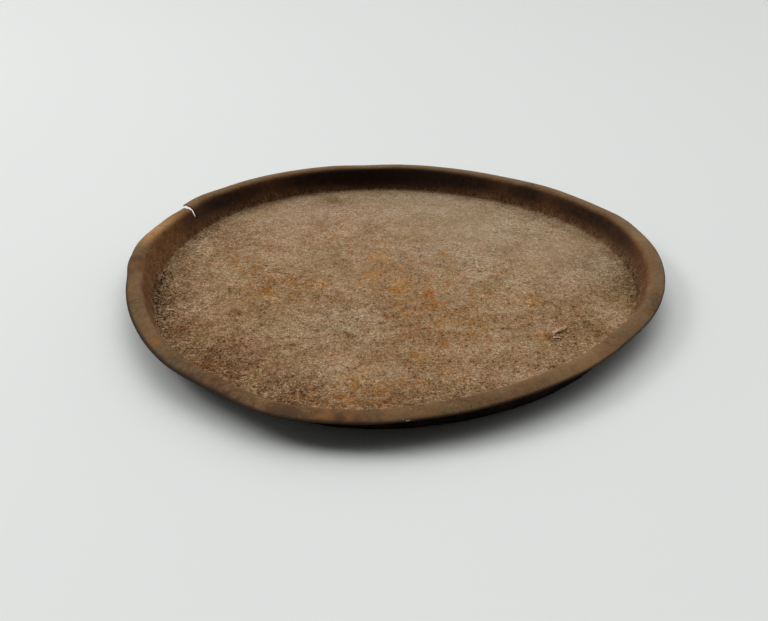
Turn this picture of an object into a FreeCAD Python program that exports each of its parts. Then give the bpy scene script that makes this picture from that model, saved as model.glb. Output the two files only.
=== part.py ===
import FreeCAD, Part
import math
import os

# Round baking pan, pressed from one disc of sheet iron: a flat floor, a low flared wall, and a lip that
# rolls over and turns down. Years of use have pushed it out of round, and its lip has torn at one place.
# Millimetres, +Z up. The origin is on the table, under the middle of the pan. Azimuths are in degrees,
# counted from +X towards +Y.

# The pressing
rim_radius = 152.4
pan_depth = 17.4
sheet_thickness = 0.8

# Bends of the sheet, measured on its middle
floor_bend_radius = 2.0
wall_slope_degrees = 74.0
crest_bend_radius = 3.0

# Lip, from the top of its crest to its cut edge
lip_width = 6.2
lip_drop = 2.0

# The rim seen from above has three slack lobes
lobe_count = 3
lobe_share = 0.0265
lobe_azimuth = 11.5

# Dents: azimuth, half of the width in degrees, and the push outwards at the floor and at the lip, both as
# shares of rim_radius
dent_shares = [
    (8.0, 22.0, 0.0, 0.0045),
    (20.0, 8.0, 0.0, 0.0070),
    (34.0, 14.0, 0.0, -0.0067),
    (56.0, 16.0, 0.0, -0.0042),
    (79.0, 11.0, 0.0, 0.0040),
    (97.0, 10.0, 0.0, -0.0124),
    (115.0, 18.0, 0.0, -0.0031),
    (133.0, 10.0, 0.0, -0.0025),
    (145.5, 9.0, 0.0, 0.0142),
    (173.0, 13.0, 0.0, 0.0195),
    (183.0, 7.0, 0.0, 0.0098),
    (212.0, 20.0, 0.0, -0.0020),
    (236.0, 10.0, 0.0, -0.0064),
    (252.0, 12.0, -0.0060, 0.0189),
    (264.0, 14.0, 0.0, 0.0114),
    (302.0, 34.0, 0.0130, -0.0057),
    (322.0, 14.0, 0.0, -0.0047),
]

# Sagging and lifted stretches of the lip: azimuth, half of the width in degrees, and the drop as a share of
# pan_depth
sag_shares = [
    (250.0, 24.0, 0.065),
    (272.0, 20.0, 0.009),
    (300.0, 20.0, -0.017),
]

# The tear through the lip and down the wall
tear_azimuth = 151.0
tear_width = 1.4
tear_foot_height = 9.2
tear_reach_degrees = 15.0
raised_side_lift = 0.4
sunk_side_drop = 1.5

# The tear from its foot to the cut edge: place on the way, how far it has wandered to one side, how wide it
# is, and how much of the step between its sides has opened. Wander and width are shares of tear_width.
tear_mark_shares = [
    (0.00, 0.0, 0.0, 0.0),
    (0.06, 0.6, 1.0, 0.0),
    (0.25, 1.4, 1.0, 0.6),
    (0.50, 1.4, 1.0, 1.0),
    (0.75, 0.3, 1.0, 1.0),
    (1.00, -0.5, 1.0, 1.0),
]
wander_column = 1
width_column = 2
step_column = 3

# The two sides of the sheet part inside the tear, over this share of its width on each side
tear_strip_share = 0.15

# Fineness of the surfaces
azimuth_steps = 96
arc_steps = 3
wall_steps = 3
cutter_overrun = 1.0


def profile_pieces():
    """Return the bends and straights of the sheet's middle, from the flat floor out to the cut edge.

    Each piece is its length, the slope at its start and the slope at its end, with its number of steps.
    """
    slope = math.radians(wall_slope_degrees)
    bends = floor_bend_radius + crest_bend_radius
    rise = pan_depth - sheet_thickness
    wall_length = (rise - bends * (1 - math.cos(slope))) / math.sin(slope)
    lip_slope = 2 * math.atan(lip_drop / lip_width)
    lip_bend_radius = lip_width / math.sin(lip_slope)
    return [
        (floor_bend_radius * slope, 0.0, slope, arc_steps),
        (wall_length, slope, slope, wall_steps),
        (crest_bend_radius * slope, slope, 0.0, arc_steps),
        (lip_bend_radius * lip_slope, 0.0, -lip_slope, arc_steps),
    ]


def piece_advance(length, first_slope, last_slope):
    """Return how far one piece of the profile goes outwards and upwards."""
    turn = last_slope - first_slope
    if turn == 0:
        return length * math.cos(first_slope), length * math.sin(first_slope)
    radius = length / turn
    outwards = radius * (math.sin(last_slope) - math.sin(first_slope))
    upwards = radius * (math.cos(first_slope) - math.cos(last_slope))
    return outwards, upwards


def profile_stations():
    """Return radius, height and slope of the sheet's middle at each step of the profile."""
    pieces = profile_pieces()
    width = sum(piece_advance(length, first, last)[0] for length, first, last, steps in pieces)
    radius = rim_radius - width
    height = sheet_thickness / 2
    stations = [(radius, height, 0.0)]
    for length, first, last, steps in pieces:
        for step in range(1, steps + 1):
            share = step / steps
            slope = first + (last - first) * share
            outwards, upwards = piece_advance(length * share, first, slope)
            stations.append((radius + outwards, height + upwards, slope))
        radius = stations[-1][0]
        height = stations[-1][1]
    return stations


def bump(azimuth, centre, half_width):
    """Return 1 at the centre of a smooth bump, and 0 outside it."""
    away = (azimuth - centre + 180) % 360 - 180
    if abs(away) >= half_width:
        return 0.0
    return (1 + math.cos(math.pi * away / half_width)) / 2


def foot_radius():
    """Return the radius of the wall at the foot of the tear."""
    stations = profile_stations()
    for lower, upper in zip(stations, stations[1:]):
        if lower[1] <= tear_foot_height <= upper[1]:
            share = (tear_foot_height - lower[1]) / (upper[1] - lower[1])
            return lower[0] + (upper[0] - lower[0]) * share
    return rim_radius


def tear_mark(radius, column):
    """Return one column of tear_mark_shares at a radius."""
    foot = foot_radius()
    way = min(1.0, max(0.0, (radius - foot) / (rim_radius - foot)))
    place = next(number for number, row in enumerate(tear_mark_shares) if number > 0 and row[0] >= way)
    before = tear_mark_shares[place - 1]
    after = tear_mark_shares[place]
    share = (way - before[0]) / (after[0] - before[0])
    return before[column] + (after[column] - before[column]) * share


def tear_line(radius):
    """Return the azimuth of the tear at a radius."""
    return tear_azimuth + math.degrees(tear_width * tear_mark(radius, wander_column) / radius)


def tear_lift(radius, azimuth):
    """Return how far the sheet stands up on one side of the tear, or sinks on the other."""
    away = (azimuth - tear_line(radius) + 180) % 360 - 180
    if abs(away) >= tear_reach_degrees:
        return 0.0
    nearness = (1 - abs(away) / tear_reach_degrees) ** 2
    step = tear_mark(radius, step_column) * nearness
    if away < 0:
        return raised_side_lift * step
    return -sunk_side_drop * step


def rise_share(height):
    """Return 0 on the floor and 1 at the top of the crest."""
    return max(0.0, (height - sheet_thickness) / (pan_depth - sheet_thickness))


def bent_distance(radius, height, azimuth):
    """Return how far from the middle the used pan has what the true pressing has at a radius and height."""
    lobes = math.cos(math.radians(lobe_count * (azimuth - lobe_azimuth)))
    push = 0.0
    for centre, half_width, at_floor, at_lip in dent_shares:
        push += bump(azimuth, centre, half_width) * (at_floor + (at_lip - at_floor) * rise_share(height))
    return radius * (1 + lobe_share * lobes) + rim_radius * push


def bent_height(radius, height, azimuth):
    """Return the height that the used pan has there."""
    sag = sum(drop * bump(azimuth, centre, half_width) for centre, half_width, drop in sag_shares)
    return height - pan_depth * sag * rise_share(height) ** 2 + tear_lift(radius, azimuth)


def sheet_point(radius, height, azimuth):
    """Return the point of the used pan that the true pressing has at a radius, height and azimuth."""
    distance = bent_distance(radius, height, azimuth)
    turn = math.radians(azimuth)
    x = distance * math.cos(turn)
    y = distance * math.sin(turn)
    return FreeCAD.Vector(x, y, bent_height(radius, height, azimuth))


def flat_point(distance, azimuth):
    """Return the point of the table at a distance and azimuth."""
    turn = math.radians(azimuth)
    return FreeCAD.Vector(distance * math.cos(turn), distance * math.sin(turn), 0)


def ring(radius, height):
    """Return one closed ring of the pan: a curve round it, and a short chord across the tear."""
    strip = math.degrees(tear_width / rim_radius) * tear_strip_share
    start = tear_line(radius) + strip
    span = 360 - 2 * strip
    points = []
    parameters = []
    for step in range(azimuth_steps + 1):
        share = step / azimuth_steps
        points.append(sheet_point(radius, height, start + span * share))
        parameters.append(share)
    curve = Part.BSplineCurve()
    curve.interpolate(Points=points, Parameters=parameters)
    return Part.Wire([curve.toShape(), Part.makeLine(points[-1], points[0])])


def skin_rings(side):
    """Return the rings of one face of the sheet: side is 1 for the upper face, and -1 for the under face."""
    offset = side * sheet_thickness / 2
    rings = []
    for radius, height, slope in profile_stations():
        rings.append(ring(radius - offset * math.sin(slope), height + offset * math.cos(slope)))
    return rings


def pressed_sheet():
    """Return the whole pan before its lip tore, as one solid."""
    upper = skin_rings(1)
    under = skin_rings(-1)
    faces = [Part.Face(upper[0]), Part.Face(under[0])]
    faces += Part.makeLoft(upper, False, False).Faces
    faces += Part.makeLoft(under, False, False).Faces
    faces += Part.makeLoft([upper[-1], under[-1]], False, True).Faces
    shell = Part.makeShell(faces)
    shell.sewShape()
    solid = Part.makeSolid(shell)
    if solid.Volume < 0:
        solid.reverse()
    return solid


def tear_cutter():
    """Return the upright cutter that opens the tear: a point at its foot, and then as wide as the tear."""
    left = []
    right = []
    foot = foot_radius()
    for row in tear_mark_shares:
        radius = foot + (rim_radius - foot) * row[0]
        azimuth = tear_line(radius)
        distance = bent_distance(radius, pan_depth, azimuth)
        if row is tear_mark_shares[-1]:
            distance += cutter_overrun
        half = math.degrees(tear_width * row[width_column] / 2 / distance)
        left.append(flat_point(distance, azimuth + half))
        right.append(flat_point(distance, azimuth - half))
    outline = Part.makePolygon(right + left[:0:-1] + [right[0]])
    cutter = Part.Face(outline).extrude(FreeCAD.Vector(0, 0, pan_depth + 2 * cutter_overrun))
    cutter.translate(FreeCAD.Vector(0, 0, -cutter_overrun))
    return cutter


def torn_pan():
    """Return the pan as it is, with its tear open."""
    return pressed_sheet().cut(tear_cutter()).Solids[0]


os.makedirs("parts", exist_ok=True)
pan = torn_pan()
pan.exportStep("parts/pan.step")
box = pan.BoundBox
print("pan", pan.ShapeType, "valid", pan.isValid(), "solids", len(pan.Solids), "faces", len(pan.Faces))
print("volume", round(pan.Volume), "box", round(box.XLength, 2), round(box.YLength, 2), round(box.ZLength, 2))
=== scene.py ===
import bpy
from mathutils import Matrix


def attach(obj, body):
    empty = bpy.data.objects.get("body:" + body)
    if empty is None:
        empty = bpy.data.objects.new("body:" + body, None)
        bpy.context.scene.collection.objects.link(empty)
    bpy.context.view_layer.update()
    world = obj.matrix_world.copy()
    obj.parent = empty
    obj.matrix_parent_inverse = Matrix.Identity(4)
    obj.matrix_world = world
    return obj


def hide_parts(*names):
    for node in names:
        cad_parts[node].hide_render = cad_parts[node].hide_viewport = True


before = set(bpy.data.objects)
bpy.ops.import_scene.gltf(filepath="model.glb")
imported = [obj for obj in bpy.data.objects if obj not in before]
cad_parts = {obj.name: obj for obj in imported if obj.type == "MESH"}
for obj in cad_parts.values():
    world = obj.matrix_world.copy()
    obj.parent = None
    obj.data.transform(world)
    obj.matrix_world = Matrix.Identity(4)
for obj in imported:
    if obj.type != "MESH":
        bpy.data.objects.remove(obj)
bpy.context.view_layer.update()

import math
import random
from types import SimpleNamespace

import bmesh
import bpy
import numpy as np
from mathutils import Matrix, Vector, noise
from mathutils.kdtree import KDTree

# The pressed sheet. The whole pan is one disc of sheet iron, pressed into a flat floor, a low flared wall
# and a lip that rolls over and turns down. Use has pushed it out of round, and the lip has torn through at
# the rear left, where one side of the sheet now stands proud of the other. Lengths are in metres.

rim_radius = 0.1524
pan_depth = 0.0174
sheet_thickness = 0.0008
floor_bend_radius = 0.0020
wall_slope = math.radians(74.0)
crest_bend_radius = 0.0030
lip_width = 0.0062
lip_drop = 0.0020

lobe_count = 3
lobe_share = 0.0265
lobe_azimuth = 11.5

# Azimuth and half width in degrees, then the push at the floor and at the lip as shares of rim_radius
dent_shares = [
    (8.0, 22.0, 0.0, 0.0045),
    (20.0, 8.0, 0.0, 0.0070),
    (34.0, 14.0, 0.0, -0.0067),
    (56.0, 16.0, 0.0, -0.0042),
    (79.0, 11.0, 0.0, 0.0040),
    (97.0, 10.0, 0.0, -0.0124),
    (115.0, 18.0, 0.0, -0.0031),
    (133.0, 10.0, 0.0, -0.0025),
    (145.5, 9.0, 0.0, 0.0142),
    (173.0, 13.0, 0.0, 0.0195),
    (183.0, 7.0, 0.0, 0.0098),
    (212.0, 20.0, 0.0, -0.0020),
    (236.0, 10.0, 0.0, -0.0064),
    (252.0, 12.0, -0.0060, 0.0189),
    (264.0, 14.0, 0.0, 0.0114),
    (302.0, 34.0, 0.0130, -0.0057),
    (322.0, 14.0, 0.0, -0.0047),
]

# Azimuth and half width in degrees, then the sag of the lip as a share of pan_depth
sag_shares = [
    (250.0, 24.0, 0.065),
    (272.0, 20.0, 0.009),
    (300.0, 20.0, -0.017),
]

tear_azimuth = 151.0
tear_width = 0.0014
tear_foot_height = 0.0092
tear_reach = 15.0
raised_side_lift = 0.0004
sunk_side_drop = 0.0015

# The tear from its foot to the cut edge: place on the way, how far it has wandered to one side, how wide it
# is, and how much of the step between its sides has opened. Wander and width are shares of tear_width.
tear_mark_shares = [
    (0.00, 0.0, 0.0, 0.0),
    (0.06, 0.6, 1.0, 0.0),
    (0.25, 1.4, 1.0, 0.6),
    (0.50, 1.4, 1.0, 1.0),
    (0.75, 0.3, 1.0, 1.0),
    (1.00, -0.6, 0.5, 1.0),
]
wander_column = 1
width_column = 2
step_column = 3

# The cut edge stands out a little between its two corners
edge_swell = sheet_thickness / 4

# What a point of the mesh lies on
upper_side = 0.0
cut_side = 0.5
under_side = 1.0

# Fineness of the mesh. Where the points of a floor ring get closer than closest_share of the spacing, the
# next ring has half as many.
columns = 840
wall_step = 0.0010
fewest_steps = 3
floor_step = 0.0011
underside_step = 0.0024
closest_share = 0.65


def profile_pieces():
    """Return length, first slope and last slope of each bend and straight of the sheet, going outwards."""
    bends = floor_bend_radius + crest_bend_radius
    rise = pan_depth - sheet_thickness
    wall_length = (rise - bends * (1 - math.cos(wall_slope))) / math.sin(wall_slope)
    lip_slope = 2 * math.atan(lip_drop / lip_width)
    lip_bend_radius = lip_width / math.sin(lip_slope)
    return [
        (floor_bend_radius * wall_slope, 0.0, wall_slope),
        (wall_length, wall_slope, wall_slope),
        (crest_bend_radius * wall_slope, wall_slope, 0.0),
        (lip_bend_radius * lip_slope, 0.0, -lip_slope),
    ]


def piece_advance(length, first, last):
    """Return how far one piece of the profile goes outwards and upwards."""
    if last == first:
        return length * math.cos(first), length * math.sin(first)
    radius = length / (last - first)
    return radius * (math.sin(last) - math.sin(first)), radius * (math.cos(first) - math.cos(last))


def profile_stations():
    """Return radius, height, slope and run of the sheet's middle, from the flat floor to the cut edge."""
    pieces = profile_pieces()
    radius = rim_radius - sum(piece_advance(*piece)[0] for piece in pieces)
    height = sheet_thickness / 2
    run = 0.0
    rows = [(radius, height, 0.0, run)]
    for length, first, last in pieces:
        steps = max(fewest_steps, math.ceil(length / wall_step))
        for step in range(1, steps + 1):
            share = step / steps
            slope = first + (last - first) * share
            outwards, upwards = piece_advance(length * share, first, slope)
            rows.append((radius + outwards, height + upwards, slope, run + length * share))
        radius, height = rows[-1][:2]
        run += length
    return rows


def turn_from(azimuth, centre):
    """Return the turn from centre to azimuth in degrees, between -180 and 180."""
    return (azimuth - centre + 180.0) % 360.0 - 180.0


def bump(azimuth, centre, half_width):
    """Return 1 at the centre of a smooth bump, and 0 outside it."""
    share = np.clip(np.abs(turn_from(azimuth, centre)) / half_width, 0.0, 1.0)
    return (1.0 + np.cos(math.pi * share)) / 2


def wall_radius(height):
    """Return the radius of the sheet's middle where the wall has a height."""
    rows = [row for row in profile_stations() if row[2] > 0]
    return float(np.interp(height, [row[1] for row in rows], [row[0] for row in rows]))


def tear_mark(radius, column):
    """Return one column of tear_mark_shares at a radius."""
    foot = wall_radius(tear_foot_height)
    way = (radius - foot) / (rim_radius - foot)
    marks = np.array(tear_mark_shares)
    return float(np.interp(way, marks[:, 0], marks[:, column]))


def bent_points(radius, height, azimuth):
    """Return the points of the used pan that the true pressing has at a radius, a height and azimuths.

    The azimuths run from the tear round to the tear again, so the last half of them ends on its raised side.
    """
    rise = max(0.0, (height - sheet_thickness) / (pan_depth - sheet_thickness))
    distance = radius * (1.0 + lobe_share * np.cos(np.radians(lobe_count * (azimuth - lobe_azimuth))))
    for centre, half_width, at_floor, at_lip in dent_shares:
        push = at_floor + (at_lip - at_floor) * rise
        distance += rim_radius * push * bump(azimuth, centre, half_width)
    nearness = np.clip(1.0 - np.abs(turn_from(azimuth, tear_azimuth)) / tear_reach, 0.0, 1.0) ** 2
    step = np.where(azimuth > tear_azimuth + 180.0, raised_side_lift, -sunk_side_drop)
    lift = tear_mark(radius, step_column) * nearness * step
    sag = sum(drop * bump(azimuth, centre, half_width) for centre, half_width, drop in sag_shares)
    turn = np.radians(azimuth)
    bent_height = height + lift - pan_depth * sag * rise ** 2
    return np.stack([distance * np.cos(turn), distance * np.sin(turn), bent_height], 1)


class SheetMesh:
    """The points and faces of the pan, built ring by ring. Each point keeps its run and its side."""

    def __init__(self):
        self.points = []
        self.faces = []
        self.run = []
        self.under = []

    def ring(self, points, run, under):
        """Add a ring of points and return their numbers."""
        first = len(self.points)
        self.points.extend(points.tolist())
        self.run.extend([run] * len(points))
        self.under.extend([under] * len(points))
        return list(range(first, first + len(points)))

    def band(self, inner, outer):
        """Add the faces between two open rings with as many points."""
        for place in range(len(inner) - 1):
            self.faces.append((inner[place], outer[place], outer[place + 1], inner[place + 1]))


def torn_azimuths(radius):
    """Return the azimuths of a ring, from one side of the tear round to the other."""
    wander = tear_width * tear_mark(radius, wander_column)
    half = tear_width * tear_mark(radius, width_column) / 2
    start = math.degrees((wander + half) / radius)
    end = 360.0 + math.degrees((wander - half) / radius)
    return tear_azimuth + np.linspace(start, end, columns + 1)


def sheet_face(sheet, offset, under):
    """Add the rings of one face of the bends, wall and lip, and return them."""
    rings = []
    for radius, height, slope, run in stations:
        skin_radius = radius - offset * math.sin(slope)
        skin_height = height + offset * math.cos(slope)
        ring = sheet.ring(bent_points(skin_radius, skin_height, torn_azimuths(radius)), run, under)
        if radius <= foot_radius:
            ring[-1] = ring[0]
        rings.append(ring)
    for inner, outer in zip(rings, rings[1:]):
        sheet.band(inner, outer)
    return rings


def floor_face(sheet, edge, height, spacing, under):
    """Fill the floor inside a ring. Where the points of a ring get too close, the next has half as many."""
    steps = round(floor_radius / spacing)
    for step in range(steps - 1, 0, -1):
        radius = floor_radius * step / steps
        count = len(edge) - 1
        halve = count % 2 == 0 and 2 * math.pi * radius / count < spacing * closest_share
        count = count // 2 if halve else count
        azimuth = tear_azimuth + 360.0 * np.arange(count) / count
        ring = sheet.ring(bent_points(radius, height, azimuth), 0.0, under)
        ring.append(ring[0])
        if halve:
            for place in range(count):
                first, second, third = edge[2 * place:2 * place + 3]
                sheet.faces.append((ring[place], first, second))
                sheet.faces.append((ring[place], second, ring[place + 1]))
                sheet.faces.append((ring[place + 1], second, third))
        else:
            sheet.band(ring, edge)
        edge = ring
    centre = sheet.ring(np.array([[0.0, 0.0, height]]), 0.0, under)[0]
    for place in range(len(edge) - 1):
        sheet.faces.append((centre, edge[place], edge[place + 1]))


def cut_edge(sheet, upper, under):
    """Close the sheared edge of the sheet, slightly rounded, and the two sides of the tear."""
    radius, height, slope, run = stations[-1]
    rings = [upper[-1]]
    for offset in (sheet_thickness / 4, -sheet_thickness / 4):
        edge_radius = radius - offset * math.sin(slope) + edge_swell * math.cos(slope)
        edge_height = height + offset * math.cos(slope) + edge_swell * math.sin(slope)
        rings.append(sheet.ring(bent_points(edge_radius, edge_height, torn_azimuths(radius)), run, cut_side))
    rings.append(under[-1])
    for first, second in zip(rings, rings[1:]):
        sheet.band(first, second)
    for side in (0, -1):
        sheet.faces.append(tuple(ring[side] for ring in rings))
        for place in range(foot_place, len(stations) - 1):
            corners = [upper[place], upper[place + 1], under[place + 1], under[place]]
            sheet.faces.append(tuple(ring[side] for ring in corners))


stations = profile_stations()
foot_place = max(place for place, (radius, height, slope, run) in enumerate(stations)
                 if height <= tear_foot_height and slope > 0)
foot_radius = stations[foot_place][0]
floor_radius = stations[0][0]

sheet = SheetMesh()
upper_rings = sheet_face(sheet, sheet_thickness / 2, upper_side)
under_rings = sheet_face(sheet, -sheet_thickness / 2, under_side)
floor_face(sheet, upper_rings[0], sheet_thickness, floor_step, upper_side)
floor_face(sheet, under_rings[0], 0.0, underside_step, under_side)
cut_edge(sheet, upper_rings, under_rings)


def clean_mesh(mesh):
    """Drop the points that no face uses, and turn all faces outwards."""
    work = bmesh.new()
    work.from_mesh(mesh)
    unused = [vertex for vertex in work.verts if not vertex.link_faces]
    bmesh.ops.delete(work, geom=unused, context="VERTS")
    bmesh.ops.recalc_face_normals(work, faces=work.faces)
    work.to_mesh(mesh)
    work.free()


def paint(label, values):
    """Keep one value for each point of the sheet, for its rust to read."""
    pan_mesh.attributes.new(label, "FLOAT", "POINT").data.foreach_set("value", values)


pan_mesh = bpy.data.meshes.new("pan_sheet")
pan_mesh.from_pydata(sheet.points, [], sheet.faces)
paint("run", sheet.run)
paint("under", sheet.under)
clean_mesh(pan_mesh)

# Heat has buckled the sheet a little, so both of its faces are pushed alike. The floor rests on the table,
# so it can only buckle upwards: floor_buckle_share is how far it is lifted before its hollows are cut off.
buckle_size = 0.050
buckle_height = 0.00030
floor_buckle_share = 0.5
buckle_seed = 5

# Rust has lifted and eaten its surface: the size of the lumps, scabs and pits, and how far they rise or sink
lump_size = 0.0110
lump_height = 0.00010
scab_size = 0.0034
scab_height = 0.00005
pit_size = 0.0042
pit_depth = 0.00016
pit_start = 0.30
pit_end = 0.65
edge_nick_size = 0.0040
edge_nick_depth = 0.00006

# The lip is worn smoother than the rest, and the cut edge is smoother still
lip_smoothing = 0.6
edge_roughness = 0.3

# How fast the noise fades from one octave to the next, how much finer that is, and how far the noise of the
# pits and of the nicks is moved, so that they don't follow the lumps
noise_fading = 0.8
noise_refining = 2.0
pit_shift = 1.0
nick_shift = 2.0

# Knocks in the lip and floor: place as shares of rim_radius, half width as a share of it, depth in metres
knock_shares = [
    (0.577, 0.741, 0.034, 0.0008),
    (-0.700, -0.640, 0.040, 0.0004),
    (-0.060, -1.005, 0.045, 0.0004),
    (0.700, -0.640, 0.050, 0.0005),
    (-0.965, 0.020, 0.045, 0.0004),
    (0.940, 0.330, 0.050, 0.0004),
]


def read_values(items, name, width):
    """Return one row of numbers for each point of a mesh."""
    values = np.empty(len(items) * width)
    items.foreach_get(name, values)
    return values.reshape(-1, width)


def near(points, x_share, y_share, width_share):
    """Return 1 at a place seen from above, and 0 further off than a width, all as shares of rim_radius."""
    away = np.hypot(points[:, 0] - x_share * rim_radius, points[:, 1] - y_share * rim_radius)
    away = np.clip(away / (width_share * rim_radius), 0.0, 1.0)
    return (1.0 + np.cos(math.pi * away)) / 2


def steps_between(values, low, high):
    """Return 0 where a value is below low, 1 where it is above high, and a smooth rise between them."""
    share = np.clip((values - low) / (high - low), 0.0, 1.0)
    return share * share * (3.0 - 2.0 * share)


def noise_rows(points, size, octaves):
    """Return soft noise between about -1 and 1 at each point."""
    return np.array([noise.fractal(Vector(point) / size, noise_fading, noise_refining, octaves)
                     for point in points])


bend_end, wall_end, crest_end, lip_end = np.cumsum([piece[0] for piece in profile_pieces()])

points = read_values(pan_mesh.vertices, "co", 3)
normals = read_values(pan_mesh.vertices, "normal", 3)
run = read_values(pan_mesh.attributes["run"].data, "value", 1)[:, 0]
under = read_values(pan_mesh.attributes["under"].data, "value", 1)[:, 0]
pressed_points = points.copy()

noise.seed_set(buckle_seed)
buckle = np.array([noise.noise_vector(Vector(point) / buckle_size) for point in points])
floor_buckle = np.maximum(0.0, floor_buckle_share + buckle[:, 2])
buckle[:, 2] = np.where(run > 0.0, buckle[:, 2], floor_buckle)
points += buckle_height * buckle
for x_share, y_share, width_share, depth in knock_shares:
    points[:, 2] -= depth * near(points, x_share, y_share, width_share)

on_lip = steps_between(run, wall_end, crest_end)
roughened = np.where(under == cut_side, edge_roughness, 1.0 - lip_smoothing * on_lip)
scabs = noise_rows(points, scab_size, octaves=3)
lumps = noise_rows(points, lump_size, octaves=3)
pits = steps_between(noise_rows(points + pit_shift, pit_size, octaves=2), pit_start, pit_end)
lift = lump_height * lumps + scab_height * scabs - pit_depth * pits
points += normals * (lift * roughened)[:, None]
nicks = noise_rows(points + nick_shift, edge_nick_size, octaves=2)
nicked = edge_nick_depth * nicks * steps_between(run, crest_end, lip_end)
outwards = pressed_points / np.maximum(np.linalg.norm(pressed_points, axis=1), floor_step)[:, None]
points += outwards * nicked[:, None]
points[:, 2] = np.maximum(points[:, 2], 0.0)
pan_mesh.vertices.foreach_set("co", points.ravel())
pan_mesh.polygons.foreach_set("use_smooth", [True] * len(pan_mesh.polygons))

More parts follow.
